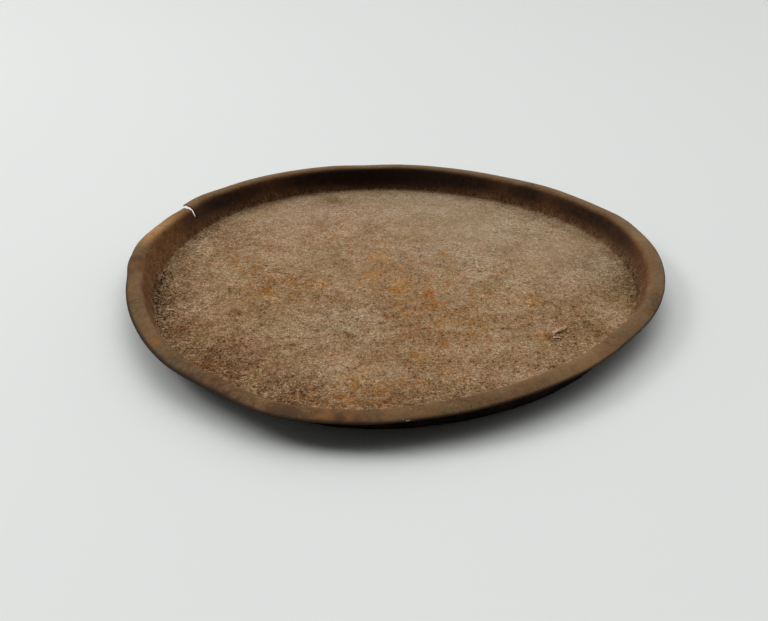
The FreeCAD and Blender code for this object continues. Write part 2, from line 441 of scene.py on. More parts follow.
# Stains: places as shares of rim_radius, half width as a share of it, and strength
stain_shares = {
    "bloom": [
        (-0.066, 0.052, 0.085, 0.80), (0.033, -0.079, 0.080, 1.00), (0.144, -0.118, 0.070, 1.00),
        (0.164, -0.197, 0.080, 0.80), (-0.459, -0.092, 0.110, 0.55), (-0.394, -0.013, 0.075, 0.60),
        (0.525, -0.171, 0.095, 0.65), (0.217, 0.223, 0.045, 0.80), (0.427, 0.066, 0.060, 0.50),
        (0.098, -0.538, 0.080, 0.55), (0.295, -0.394, 0.110, 0.50), (-0.262, 0.381, 0.100, 0.45),
        (-0.050, 0.200, 0.150, 0.55), (-0.200, -0.120, 0.150, 0.45), (0.050, -0.240, 0.200, 0.45),
        (-0.100, -0.690, 0.130, 0.45), (0.065, -0.700, 0.130, 0.45), (-0.020, -0.770, 0.160, 0.45),
        (-0.130, -0.780, 0.120, 0.55), (0.340, -0.130, 0.150, 0.40), (0.540, -0.420, 0.070, 0.45),
        (-0.190, -1.000, 0.095, 0.70), (-0.120, -1.010, 0.055, 0.70), (-0.757, -0.619, 0.055, 0.90),
        (-0.620, -0.600, 0.090, 0.55), (0.987, 0.139, 0.060, 0.60), (-1.000, 0.210, 0.170, 0.75),
        (0.120, -1.010, 0.080, 0.40), (0.620, -0.760, 0.060, 0.35), (-0.870, 0.420, 0.060, 0.50),
        (0.050, -0.020, 0.420, 0.43), (-0.420, -0.080, 0.330, 0.36), (0.150, -0.380, 0.380, 0.34),
        (0.480, -0.200, 0.260, 0.24), (-0.050, -0.700, 0.380, 0.26), (-0.100, 0.350, 0.450, 0.24),
        (-0.600, 0.150, 0.300, 0.30), (0.450, 0.150, 0.300, 0.18), (-0.450, -0.750, 0.300, 0.22),
        (-0.750, -0.350, 0.250, 0.24), (0.700, -0.350, 0.250, 0.14), (-0.950, -0.080, 0.120, 0.60),
        (-0.300, -0.050, 0.200, 0.40), (0.300, -0.280, 0.200, 0.40), (0.000, 0.100, 0.160, 0.50),
        (-0.250, -0.780, 0.180, 0.34), (0.180, -0.650, 0.150, 0.34), (-0.550, 0.050, 0.140, 0.35),
        (-1.010, -0.300, 0.280, 0.40), (-0.900, 0.370, 0.090, 0.90),
    ],
    "ash": [
        (0.460, 0.560, 0.480, 0.90), (0.150, 0.740, 0.420, 0.90), (0.790, 0.100, 0.260, 0.45),
        (-0.217, -0.282, 0.070, 0.80), (0.361, 0.020, 0.080, 0.60), (-0.260, -0.640, 0.120, 0.45),
        (0.020, -0.640, 0.070, 0.50), (-0.560, -0.540, 0.060, 0.45), (-0.690, -0.620, 0.060, 0.50),
        (-0.420, -0.780, 0.080, 0.45), (-0.150, -0.300, 0.280, 0.45), (0.300, 0.200, 0.400, 0.55),
        (-0.300, 0.750, 0.300, 0.45), (0.000, 1.000, 0.500, 0.90), (-0.450, 0.900, 0.250, 0.50),
    ],
    "settled": [
        (0.200, 0.850, 0.850, 0.85), (0.750, 0.250, 0.550, 0.70), (-0.450, 0.750, 0.500, 0.70),
        (0.000, 0.300, 0.700, 0.30), (0.350, 0.500, 0.500, 0.75), (-0.050, -0.800, 0.450, 0.12),
    ],
    "ochre": [
        (-0.985, 0.235, 0.230, 1.00), (-0.930, 0.420, 0.150, 0.25), (0.990, 0.160, 0.120, 0.15),
        (0.060, -1.020, 0.200, 0.10), (0.620, -0.740, 0.200, 0.22),
    ],
    "rosy": [
        (-0.260, 0.590, 0.400, 0.80), (-0.560, 0.400, 0.300, 0.50), (0.295, -0.676, 0.120, 0.70),
        (0.590, 0.370, 0.070, 0.50), (-0.800, -0.330, 0.160, 0.45), (0.690, -0.020, 0.170, 0.45),
        (-0.480, -0.470, 0.160, 0.40),
    ],
    # Umber stains. Their broad rows at the front and left, on the floor and on the lip, are partly painted
    # shade.
    "umber": [
        (-0.550, -0.600, 0.500, 0.54), (0.150, -0.850, 0.460, 0.44), (0.620, -0.560, 0.360, 0.34),
        (-0.800, -0.200, 0.260, 0.30), (0.100, -0.300, 0.420, 0.22), (-0.450, -0.150, 0.380, 0.18),
        (-0.590, -0.560, 0.230, 0.64), (-0.540, -0.690, 0.150, 0.64), (-0.720, -0.400, 0.120, 0.55),
        (-0.558, -0.249, 0.060, 0.80), (-0.138, -0.413, 0.050, 0.70), (0.700, -0.370, 0.140, 0.45),
        (-0.262, 0.774, 0.110, 0.60), (0.000, -0.790, 0.150, 0.45), (0.560, -0.430, 0.060, 0.60),
        (0.640, 0.700, 0.060, 0.40), (-0.440, 0.080, 0.060, 0.60), (-0.330, -0.480, 0.060, 0.60),
        (-1.000, 0.100, 0.300, 0.45), (-0.850, -0.550, 0.300, 0.15), (-0.300, -0.990, 0.110, 0.90),
        (-0.260, -0.800, 0.340, 0.46), (0.800, -0.080, 0.340, 0.24), (-0.600, -0.900, 0.400, 0.62),
        (-0.160, -1.060, 0.260, 0.70), (-1.060, -0.160, 0.240, 0.65), (-0.950, -0.420, 0.260, 0.52),
        (-0.070, -0.830, 0.140, 0.50), (-0.060, -0.970, 0.100, 0.55), (-0.970, -0.060, 0.170, 0.95),
        (0.930, -0.380, 0.140, 0.60), (-0.860, 0.400, 0.090, 0.70),
    ],
}

for label, rows in stain_shares.items():
    stain = np.zeros(len(points))
    for x_share, y_share, width_share, strength in rows:
        stain = np.maximum(stain, strength * near(pressed_points, x_share, y_share, width_share))
    paint(label, stain)

# Baked soot is thickest under the crest of the wall, dust lodges at its foot, and dark dirt gathers in the
# corner of the floor. The soot is partly painted shade, darkest on the rear wall and under the crest, and
# the corner's dirt is partly painted shade too. Azimuth and half width in degrees, then how thick it is
# there.
# Elsewhere the soot and the corner's dirt, with their painted shade, have least_share.
soot_and_shade_shares = [
    (90.0, 62.0, 1.00),
    (24.0, 44.0, 0.62),
    (48.0, 16.0, 0.62),
    (140.0, 34.0, 0.62),
]
foot_dust_shares = [
    (352.0, 54.0, 1.00),
    (205.0, 60.0, 0.60),
    (90.0, 110.0, 0.60),
]
corner_shares = [
    (190.0, 85.0, 0.85),
    (90.0, 70.0, 0.30),
    (240.0, 34.0, 0.90),
    (284.0, 28.0, 0.62),
    (2.0, 24.0, 0.78),
]
least_share = 0.12

# Where the baked wall starts, as a share of the bend at its foot, and where it is baked right through, as a
# share of the straight wall
baked_start_share = 0.10
baked_full_share = 0.14

# Where the others start and end. The crest counts from its foot to its top, the wall likewise, and the floor
# from its middle to its edge
baked_crest_shares = (0.0, 0.8)
soot_and_shade_crest_shares = (-0.35, 0.80)
thick_soot_and_shade_wall_shares = (0.0, 0.7)
foot_dust_wall_shares = (0.0, 0.9)
edge_dust_floor_shares = (0.96, 1.03)
corner_floor_shares = (0.66, 1.00)

# How much of the soot and its painted shade covers the whole wall. How much dust lies on the floor's edge,
# and how far up the bend. How fast the corner's dirt and painted shade thin out inwards, and how far up the
# bend they go
thin_soot_and_shade_share = 0.30
edge_dust_share = 0.45
edge_dust_bend_share = 0.5
corner_fading = 1.5
corner_bend_share = 2.2

# The cut edge of the lip is black, and painted shade darkens the turned-down lip next to it: how wide the
# dark band is, how much wider at the front left, and where it is fully black
rim_shade_width = 0.0009
rim_shade_gain = 0.0016
rim_shade_azimuth = 232.0
rim_shade_spread = 60.0
rim_black_share = 0.35

azimuth = np.degrees(np.arctan2(pressed_points[:, 1], pressed_points[:, 0]))
floor_share = np.hypot(pressed_points[:, 0], pressed_points[:, 1]) / floor_radius
wall_share = (run - bend_end) / (wall_end - bend_end)
crest_share = (run - wall_end) / (crest_end - wall_end)


def around_pan(rows, least):
    """Return how thick something is at each point's azimuth, and no less than least."""
    thickest = np.full(len(points), least)
    for centre, half_width, strength in rows:
        thickest = np.maximum(thickest, strength * bump(azimuth, centre, half_width))
    return thickest


baked_full = bend_end + baked_full_share * (wall_end - bend_end)
wall_foot = steps_between(run, baked_start_share * bend_end, baked_full)
up_wall = wall_foot * (1.0 - steps_between(crest_share, *baked_crest_shares))
paint("wall", up_wall * (1.0 - under))

# The soot on the wall is partly painted shade: thickest high up, under the crest, and thinner at the foot
soot_and_shade_extent = wall_foot * (1.0 - steps_between(crest_share, *soot_and_shade_crest_shares))
thick_soot_and_shade = steps_between(wall_share, *thick_soot_and_shade_wall_shares) * soot_and_shade_extent
soot_and_shade = thin_soot_and_shade_share * soot_and_shade_extent + (1.0 - thin_soot_and_shade_share) * thick_soot_and_shade
paint("soot_and_shade", (1.0 - under) * around_pan(soot_and_shade_shares, least_share) * soot_and_shade)

low_wall = up_wall * (1.0 - steps_between(wall_share, *foot_dust_wall_shares))
edge_dust = edge_dust_share * steps_between(floor_share, *edge_dust_floor_shares)
low_wall = np.maximum(low_wall, edge_dust * (run < bend_end * edge_dust_bend_share))
paint("foot_dust", (1.0 - under) * around_pan(foot_dust_shares, 0.0) * low_wall)

paint("lip", steps_between(run, 0.0, wall_end))
# The dark band at the cut edge: the black edge, and painted shade on the lip as it turns down to it
darkened = rim_shade_width + rim_shade_gain * bump(azimuth, rim_shade_azimuth, rim_shade_spread)
paint("rim", steps_between((run - lip_end) / darkened, -1.0, -rim_black_share))

# Dirt in the corner of the floor, partly painted shade, darker close to the wall's foot
inwards = steps_between(floor_share, *corner_floor_shares) ** corner_fading
upwards = 1.0 - steps_between(run, bend_end, bend_end * corner_bend_share)
paint("corner", around_pan(corner_shares, least_share) * inwards * upwards * (1.0 - under))


def add_node(tree, kind, inputs, **settings):
    """Add a shader node, set what it is set to, and fill or link its inputs, by name or by number."""
    made = tree.nodes.new("ShaderNode" + kind)
    for name, value in settings.items():
        setattr(made, name, value)
    for name, value in inputs.items():
        if isinstance(value, bpy.types.NodeSocket):
            tree.links.new(value, made.inputs[name])
        else:
            made.inputs[name].default_value = value
    return made


def calculate(tree, operation, first, second, third=0.0):
    """Return the result of a sum of two or three values."""
    return add_node(tree, "Math", {0: first, 1: second, 2: third}, operation=operation).outputs[0]


def times(tree, first, second):
    """Return one value times another."""
    return calculate(tree, "MULTIPLY", first, second)


def ranged(tree, value, at_none, at_full):
    """Return at_none where the value is 0, at_full where it is 1, and evenly between them."""
    return calculate(tree, "MULTIPLY_ADD", value, at_full - at_none, at_none)


def soft_step(tree, value, start, end):
    """Return 0 before start, 1 past end, and a smooth rise between them. The end may be the lower one."""
    ends = {"Value": value, "From Min": start, "From Max": end}
    return add_node(tree, "MapRange", ends, interpolation_type="SMOOTHSTEP").outputs["Result"]


def mixed(tree, share, first, second, strength=1.0, blend_type="MIX"):
    """Return the first colour, with the second over it, as much as the share times the strength says."""
    part = share if strength == 1.0 else times(tree, share, strength)
    made = add_node(tree, "Mix", {0: part, 6: first, 7: second}, data_type="RGBA", blend_type=blend_type)
    return made.outputs[2]


def tinted(tree, share, first, tint, strength=1.0):
    """Return the first colour, multiplied by the tint as much as they say, so that its grain stays."""
    return mixed(tree, share, first, tint, strength, "MULTIPLY")


def scaled_place(tree, place, size):
    """Return the place counted in steps of size."""
    steps = calculate(tree, "DIVIDE", 1.0, size)
    return add_node(tree, "VectorMath", {0: place, "Scale": steps}, operation="SCALE").outputs[0]


def start_group(name, inputs, outputs):
    """Start a shader node group, and return it with the ends of its inputs and outputs."""
    group = bpy.data.node_groups.new(name, "ShaderNodeTree")
    group.interface.new_socket("Place", in_out="INPUT", socket_type="NodeSocketVector")
    for label, value in inputs.items():
        socket = group.interface.new_socket(label, in_out="INPUT", socket_type="NodeSocketFloat")
        socket.default_value = value
    for label in outputs:
        group.interface.new_socket(label, in_out="OUTPUT", socket_type="NodeSocketFloat")
    return group, group.nodes.new("NodeGroupInput").outputs, group.nodes.new("NodeGroupOutput").inputs


# The values of a noise lie between these, apart from a few
noise_low = 0.28
noise_high = 0.72

# How far a spot's outline wanders, in how fine a wave, and where it starts and is at its deepest, counted in
# steps of its size from its middle
spot_wander = (0.5, 0.5, 0.5)
spot_wave = 2.3
spot_start = 0.42
spot_full = 0.16


def iron_grain():
    """The sandy grain of rusted iron: a value from 0 to 1, and its height in metres."""
    group, given, put = start_group("Iron grain", {"Size": 0.0010, "Depth": 0.00004}, ["Grain", "Height"])
    place = scaled_place(group, given["Place"], given["Size"])
    fine = add_node(group, "TexNoise", {"Vector": place, "Scale": 1.0, "Detail": 2.0, "Roughness": 0.6})
    grain = soft_step(group, fine.outputs[0], noise_low, noise_high)
    group.links.new(grain, put["Grain"])
    group.links.new(times(group, grain, given["Depth"]), put["Height"])
    return group


def rust_patches():
    """Ragged patches that cover a share of the surface: a mask from 0 to 1."""
    group, given, put = start_group("Rust patches", {"Size": 0.010, "Cover": 0.5, "Softness": 0.1}, ["Mask"])
    place = scaled_place(group, given["Place"], given["Size"])
    ragged = {"Vector": place, "Scale": 1.0, "Detail": 5.0, "Roughness": 0.62, "Distortion": 0.4}
    field = add_node(group, "TexNoise", ragged).outputs[0]
    covered = {"Value": given["Cover"], "To Min": noise_high, "To Max": noise_low}
    bare = add_node(group, "MapRange", covered).outputs[0]
    start = calculate(group, "SUBTRACT", bare, given["Softness"])
    end = calculate(group, "ADD", bare, given["Softness"])
    group.links.new(soft_step(group, field, start, end), put["Mask"])
    return group


def small_pits():
    """Scattered small round pits or specks: a mask from 0 to 1, and their height in metres."""
    values = {"Size": 0.0030, "Share": 0.3, "Depth": 0.00010}
    group, given, put = start_group("Small pits", values, ["Mask", "Height"])
    place = scaled_place(group, given["Place"], given["Size"])
    wave = add_node(group, "TexNoise", {"Vector": place, "Scale": spot_wave, "Detail": 1.0}).outputs["Color"]
    wave = add_node(group, "VectorMath", {0: wave, 1: (0.5, 0.5, 0.5)}, operation="SUBTRACT").outputs[0]
    wavy = {0: wave, 1: spot_wander, 2: place}
    ragged = add_node(group, "VectorMath", wavy, operation="MULTIPLY_ADD").outputs[0]
    cells = add_node(group, "TexVoronoi", {"Vector": ragged, "Scale": 1.0})
    chance = add_node(group, "SeparateColor", {0: cells.outputs["Color"]}).outputs[0]
    chosen = calculate(group, "LESS_THAN", chance, given["Share"])
    mask = times(group, chosen, soft_step(group, cells.outputs["Distance"], spot_start, spot_full))
    group.links.new(mask, put["Mask"])
    sunk = times(group, mask, given["Depth"])
    group.links.new(times(group, sunk, -1.0), put["Height"])
    return group


grain_group = iron_grain()
patches_group = rust_patches()
pits_group = small_pits()


def place_group(tree, group, place, **values):
    """Put a node group into a material, and return its outputs."""
    made = tree.nodes.new("ShaderNodeGroup")
    made.node_tree = group
    tree.links.new(place, made.inputs["Place"])
    for label, value in values.items():
        if isinstance(value, bpy.types.NodeSocket):
            tree.links.new(value, made.inputs[label])
        else:
            made.inputs[label].default_value = value
    return made.outputs


def patches(tree, place, size, cover, softness):
    """Return a mask of ragged patches."""
    return place_group(tree, patches_group, place, Size=size, Cover=cover, Softness=softness)["Mask"]


def start_material(name):
    """Start a material, and return its nodes, its Principled shader and the place on the object."""
    material = bpy.data.materials.new(name)
    material.use_nodes = True
    tree = material.node_tree
    return material, tree, tree.nodes["Principled BSDF"], add_node(tree, "TexCoord", {}).outputs["Object"]


def painted(tree, label):
    """Return a stain that is painted on the mesh."""
    return add_node(tree, "Attribute", {}, attribute_name=label).outputs["Fac"]


def colour(red, green, blue):
    """Return a colour for a node, as linear light."""
    return (red, green, blue, 1.0)


# Colours of the sheet, as linear light
grain_dark = colour(0.056, 0.020, 0.003)
grain_mid = colour(0.266, 0.158, 0.076)
grain_pale = colour(0.525, 0.400, 0.280)
lip_brown = colour(0.146, 0.069, 0.019)
lip_olive = colour(0.142, 0.086, 0.030)
lip_dark = colour(0.050, 0.024, 0.010)
lip_ochre = colour(0.420, 0.230, 0.085)
bloom_orange = colour(0.250, 0.105, 0.028)
wall_red = colour(0.250, 0.107, 0.036)
wall_dark = colour(0.055, 0.020, 0.006)
foot_brown = colour(0.265, 0.175, 0.088)
dust_brown = colour(0.335, 0.237, 0.142)
# Soot on the wall, partly painted shade
soot_and_shade_black = colour(0.020, 0.011, 0.007)
soot_and_shade_brown = colour(0.058, 0.025, 0.012)
under_black = colour(0.012, 0.008, 0.006)
under_rust = colour(0.060, 0.024, 0.010)
# The black of the cut edge, which also serves as painted shade on the lip beside it
rim_black_and_shade = colour(0.020, 0.012, 0.008)

# Tints that the rust takes in patches: each channel is multiplied
olive_tint = colour(0.86, 1.00, 0.80)
red_tint = colour(1.00, 0.80, 0.68)
film_tint = colour(1.20, 1.25, 1.40)
ash_tint = colour(1.22, 1.50, 1.90)
lip_ash_tint = colour(1.02, 1.30, 1.60)
blotch_tint = colour(0.74, 0.69, 0.62)
rosy_tint = colour(1.14, 1.10, 1.30)
umber_tint = colour(0.62, 0.50, 0.38)
bloom_tint = colour(1.02, 0.74, 0.36)
bloom_core_tint = colour(0.96, 0.62, 0.36)
# Dirt and painted shade in the corner of the floor
corner_dirt_and_shade_tint = colour(0.38, 0.34, 0.28)
pit_tint = colour(0.55, 0.38, 0.28)
dot_tint = colour(0.66, 0.45, 0.22)
speck_tint = colour(1.40, 1.45, 1.60)


# The grain has four layers, from the finest to the widest: size, depth and weight. Every other layer is
# moved, so that they don't repeat each other.
grain_layers = [
    (0.0008, 0.00006, 0.42),
    (0.0017, 0.00008, 0.27),
    (0.0045, 0.00010, 0.16),
    (0.0150, 0.00006, 0.15),
]
clump_layer = 2
grain_move = (0.31, 0.17, 0.05)

# Streaks on the wall are long in height, so their place is squeezed in height
streak_squeeze = (1.0, 1.0, 0.18)


def shared_rust(tree, place, moved):
    """Return what more than one zone of the sheet shows: its grain, patches, stains and pits."""
    rust = SimpleNamespace(layers=[], grain=0.0)
    for number, (size, depth, weight) in enumerate(grain_layers):
        layer = place_group(tree, grain_group, (place, moved)[number % 2], Size=size, Depth=depth)
        rust.layers.append(layer)
        rust.grain = calculate(tree, "MULTIPLY_ADD", layer["Grain"], weight, rust.grain)
    rust.pits = place_group(tree, pits_group, place, Size=0.0030, Share=0.22, Depth=0.00010)
    rust.specks = place_group(tree, pits_group, moved, Size=0.0022, Share=0.11, Depth=-0.00006)

    rust.lip = painted(tree, "lip")
    rust.settled = painted(tree, "settled")
    rust.umber = painted(tree, "umber")
    rust.bloom = painted(tree, "bloom")
    rust.olive = patches(tree, place, size=0.020, cover=0.45, softness=0.16)
    rust.red = patches(tree, moved, size=0.0090, cover=0.38, softness=0.14)
    ragged = patches(tree, moved, size=0.0036, cover=rust.umber, softness=0.12)
    rust.browned = times(tree, ragged, soft_step(tree, rust.umber, 0.0, 0.35))
    rust.bloom_cover = ranged(tree, rust.bloom, 0.17, 0.81)
    spread = patches(tree, place, size=0.0050, cover=rust.bloom_cover, softness=0.20)
    rust.spread = times(tree, spread, soft_step(tree, rust.bloom, 0.05, 1.00))
    return rust


def floor_colour(tree, place, moved, rust):
    """Return the colour of the floor: a dusty grain, with patches, orange bloom, pits and settled dust."""
    # The floor sinks darker where the umber lies, partly painted shade towards the front
    sunk = calculate(tree, "MULTIPLY_ADD", rust.umber, -0.20, rust.grain)
    shade = mixed(tree, soft_step(tree, sunk, 0.08, 0.50), grain_dark, grain_mid)
    shade = mixed(tree, soft_step(tree, sunk, 0.45, 0.92), shade, grain_pale)

    film = patches(tree, moved, size=0.026, cover=0.42, softness=0.18)
    shade = tinted(tree, rust.olive, shade, olive_tint, strength=0.45)
    shade = tinted(tree, film, shade, film_tint, strength=0.50)
    shade = tinted(tree, rust.red, shade, red_tint, strength=0.50)
    broken = patches(tree, moved, size=0.0026, cover=0.62, softness=0.16)
    for label, tint in (("ash", ash_tint), ("rosy", rosy_tint)):
        stained = times(tree, painted(tree, label), broken)
        shade = tinted(tree, stained, shade, tint, strength=0.90)

    loose = patches(tree, place, size=0.0040, cover=rust.bloom_cover, softness=0.08)
    loose = times(tree, loose, soft_step(tree, rust.bloom, -0.35, 0.50))
    shade = tinted(tree, loose, shade, bloom_tint)
    core = patches(tree, moved, size=0.0035, cover=0.42, softness=0.12)
    core = times(tree, core, soft_step(tree, rust.bloom, 0.35, 1.00))
    shade = tinted(tree, core, shade, bloom_core_tint, strength=0.85)
    shade = tinted(tree, rust.browned, shade, umber_tint, strength=0.75)

    shade = tinted(tree, rust.pits["Mask"], shade, pit_tint)
    dots = place_group(tree, pits_group, moved, Size=0.0026, Share=0.34, Depth=0.0)["Mask"]
    dots = times(tree, dots, soft_step(tree, rust.bloom, 0.10, 0.50))
    shade = tinted(tree, dots, shade, dot_tint)
    shade = tinted(tree, rust.specks["Mask"], shade, speck_tint)
    return mixed(tree, rust.settled, shade, dust_brown, strength=0.58)


def lip_colour(tree, moved, rust):
    """Return the colour of the lip: smoother and darker than the floor, and rubbed to ochre in places."""
    worn = mixed(tree, rust.olive, lip_brown, lip_olive)
    worn = mixed(tree, rust.grain, worn, grain_pale, strength=0.15)
    blotch = patches(tree, moved, size=0.0100, cover=0.50, softness=0.20)
    worn = tinted(tree, blotch, worn, blotch_tint, strength=0.55)
    worn = tinted(tree, painted(tree, "ash"), worn, lip_ash_tint)
    worn = tinted(tree, rust.red, worn, red_tint, strength=0.70)
    worn = mixed(tree, rust.browned, worn, lip_dark, strength=0.60)
    # The lip darkens where the umber lies: stain, and painted shade at the left and front
    worn = mixed(tree, rust.umber, worn, lip_dark, strength=0.60)
    worn = mixed(tree, rust.spread, worn, bloom_orange)
    rubbed = patches(tree, moved, size=0.0042, cover=0.82, softness=0.22)
    return mixed(tree, times(tree, rubbed, painted(tree, "ochre")), worn, lip_ochre)


def wall_colour(tree, place, rust):
    """Return the colour of the wall: rust baked darker and redder, with streaks that run down it."""
    upright = add_node(tree, "VectorMath", {0: place, 1: streak_squeeze}, operation="MULTIPLY").outputs[0]
    streak = place_group(tree, grain_group, upright, Size=0.0013, Depth=0.00005)["Grain"]
    flecked = calculate(tree, "MULTIPLY_ADD", streak, 0.22, times(tree, rust.grain, 0.78))
    baked = mixed(tree, soft_step(tree, flecked, 0.20, 0.76), wall_dark, wall_red)
    return mixed(tree, rust.spread, baked, bloom_orange)


def dusted_foot(tree, place, rust, shade):
    """Return the shade, with the dust that lodges along the foot of the wall over it."""
    foot_dust = painted(tree, "foot_dust")
    lodged = patches(tree, place, size=0.0050, cover=ranged(tree, foot_dust, 0.45, 0.90), softness=0.16)
    lodged = times(tree, lodged, soft_step(tree, foot_dust, 0.0, 0.60))
    dusty = mixed(tree, soft_step(tree, rust.grain, 0.30, 0.75), wall_dark, foot_brown)
    return mixed(tree, lodged, shade, dusty, strength=0.85)


def blackened_and_shaded(tree, place, rust, shade):
    """Return the shade, with the corner's dirt, the soot, the black underside and the black cut edge.

    The corner's dirt and the soot are partly painted shade, and so is the dark band on the lip at the cut
    edge.
    """
    # The corner's dirt, partly painted shade
    corner = times(tree, painted(tree, "corner"), soft_step(tree, rust.grain, 0.85, 0.25))
    shade = tinted(tree, corner, shade, corner_dirt_and_shade_tint)
    # Soot with painted shade, darkest on the rear wall under the crest
    soot_and_shade = painted(tree, "soot_and_shade")
    thick = calculate(tree, "MULTIPLY_ADD", rust.layers[clump_layer]["Grain"], 0.30, soot_and_shade)
    smoked_and_shaded = mixed(tree, soft_step(tree, thick, 0.45, 1.05), soot_and_shade_brown, soot_and_shade_black)
    shade = mixed(tree, soft_step(tree, soot_and_shade, 0.0, 0.60), shade, smoked_and_shaded)
    rusty = patches(tree, place, size=0.012, cover=0.45, softness=0.12)
    below = mixed(tree, times(tree, rusty, rust.grain), under_black, under_rust)
    shade = mixed(tree, painted(tree, "under"), shade, below)
    # The black cut edge, with painted shade on the lip beside it
    return mixed(tree, painted(tree, "rim"), shade, rim_black_and_shade, strength=0.85)


def rusted_sheet_iron():
    """Return the finish of the pan: dusty rust inside, a smoother lip, and soot on the wall and below.

    The soot on the wall and the dirt in the corner are partly painted shade.
    """
    material, tree, shader, place = start_material("rusted_sheet_iron")
    moved = add_node(tree, "VectorMath", {0: place, 1: grain_move}, operation="ADD").outputs[0]
    rust = shared_rust(tree, place, moved)
    shade = floor_colour(tree, place, moved, rust)
    shade = mixed(tree, rust.lip, shade, lip_colour(tree, moved, rust), strength=0.92)
    shade = mixed(tree, painted(tree, "wall"), shade, wall_colour(tree, place, rust), strength=0.85)
    shade = dusted_foot(tree, place, rust, shade)
    shade = blackened_and_shaded(tree, place, rust, shade)

    height = 0.0
    for layer in rust.layers + [rust.pits, rust.specks]:
        height = calculate(tree, "ADD", layer["Height"], height)
    height = times(tree, height, ranged(tree, rust.lip, 1.00, 0.35))
    height = times(tree, height, soft_step(tree, rust.settled, 1.4, -0.2))
    relief = add_node(tree, "Bump", {"Strength": 1.0, "Distance": 1.0, "Height": height})
    rough = calculate(tree, "MULTIPLY_ADD", rust.grain, 0.10, ranged(tree, rust.lip, 0.88, 0.70))

    tree.links.new(shade, shader.inputs["Base Color"])
    tree.links.new(rough, shader.inputs["Roughness"])
    tree.links.new(relief.outputs["Normal"], shader.inputs["Normal"])
    shader.inputs["Specular IOR Level"].default_value = 0.15
    return material


pan_mesh.materials.append(rusted_sheet_iron())
pan_sheet = bpy.data.objects.new("pan_sheet", pan_mesh)
bpy.context.scene.collection.objects.link(pan_sheet)
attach(pan_sheet, "root")
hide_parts("pan")

# Corner grit. Burnt crumbs and rust have gathered in the corner between the floor and the wall, on the left,
# and a few lie further in. Each crumb is a small ragged lump, lodged in the rust. Two rows of the same dark
# crumbs lie along the near edges of the scale flakes as painted shadow.

grit_seed = 7
grit_count = 150

# The first and last azimuth of the grit, and the one where most of it lies, in degrees
grit_azimuths = (167.0, 204.0, 184.0)

# It starts a little past the floor's edge and thins out inwards. Sizes are half widths
grit_start = 0.0006
grit_spread = 0.0022
grit_reach = 0.0110
grit_sizes = (0.00024, 0.00062)
single_crumb_size = 0.00040

# A crumb's widths, its height, its raggedness and how high its middle lies, as shares of its size
crumb_width_shares = (0.7, 1.4)
crumb_height_shares = (0.5, 0.9)
crumb_ragged_shares = (0.7, 1.2)
crumb_seat_share = 0.2

grit_and_shadow_dark = colour(0.012, 0.008, 0.004)
grit_olive = colour(0.060, 0.038, 0.018)

upper_points = points[under == upper_side]
ground = KDTree(len(upper_points))
for number, point in enumerate(upper_points):
    ground.insert((point[0], point[1], 0.0), number)
ground.balance()


def ground_height(x, y):
    """Return the height of the pan's upper face at a place seen from above."""
    return upper_points[ground.find((x, y, 0.0))[1]][2]


def give_tones(mesh, chance):
    """Give each face of a mesh of loose rust its own tone, from 0 to 1."""
    tones = [chance.random() for face in mesh.polygons]
    mesh.attributes.new("tone", "FLOAT", "FACE").data.foreach_set("value", tones)


def crumb_mesh(name, rows, chance):
    """Return a mesh of ragged lumps. Each row is a place seen from above and the half width of a lump."""
    work = bmesh.new()
    for x, y, size in rows:
        lump = bmesh.ops.create_icosphere(work, subdivisions=1, radius=size)["verts"]
        shares = (crumb_width_shares, crumb_width_shares, crumb_height_shares)
        stretch = Vector([chance.uniform(*ends) for ends in shares])
        turn = Matrix.Rotation(chance.uniform(0.0, 2 * math.pi), 3, "Z")
        seat = Vector((x, y, ground_height(x, y) + size * crumb_seat_share))
        for vertex in lump:
            vertex.co = turn @ (vertex.co * stretch * chance.uniform(*crumb_ragged_shares)) + seat
    mesh = bpy.data.meshes.new(name)
    work.to_mesh(mesh)
    work.free()
    give_tones(mesh, chance)
    return mesh


def crumb_rust(name, first, second):
    """Return the finish of loose rust: each face has its own tone between two colours, and a fine grain."""
    material, tree, shader, place = start_material(name)
    speckle = place_group(tree, grain_group, place, Size=0.0005, Depth=0.00004)
    tone = calculate(tree, "ADD", painted(tree, "tone"), speckle["Grain"])
    shade = mixed(tree, soft_step(tree, tone, 0.70, 1.50), first, second)
    tree.links.new(shade, shader.inputs["Base Color"])
    relief = add_node(tree, "Bump", {"Strength": 1.0, "Distance": 1.0, "Height": speckle["Height"]})
    tree.links.new(relief.outputs["Normal"], shader.inputs["Normal"])
    shader.inputs["Roughness"].default_value = 0.9
    shader.inputs["Specular IOR Level"].default_value = 0.15
    return material


def add_loose(name, mesh, material):
    """Add a mesh of loose rust that stays on the pan."""
    mesh.materials.append(material)
    loose = bpy.data.objects.new(name, mesh)
    bpy.context.scene.collection.objects.link(loose)
    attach(loose, "root")


chance = random.Random(grit_seed)
grit_and_shadow_rows = []
for number in range(grit_count):
    grit_azimuth = chance.triangular(*grit_azimuths)
    inwards = min(chance.expovariate(1 / grit_spread), grit_reach)
    spot = bent_points(floor_radius + grit_start - inwards, sheet_thickness, np.array([grit_azimuth]))[0]
    grit_and_shadow_rows.append((spot[0], spot[1], chance.uniform(*grit_sizes)))

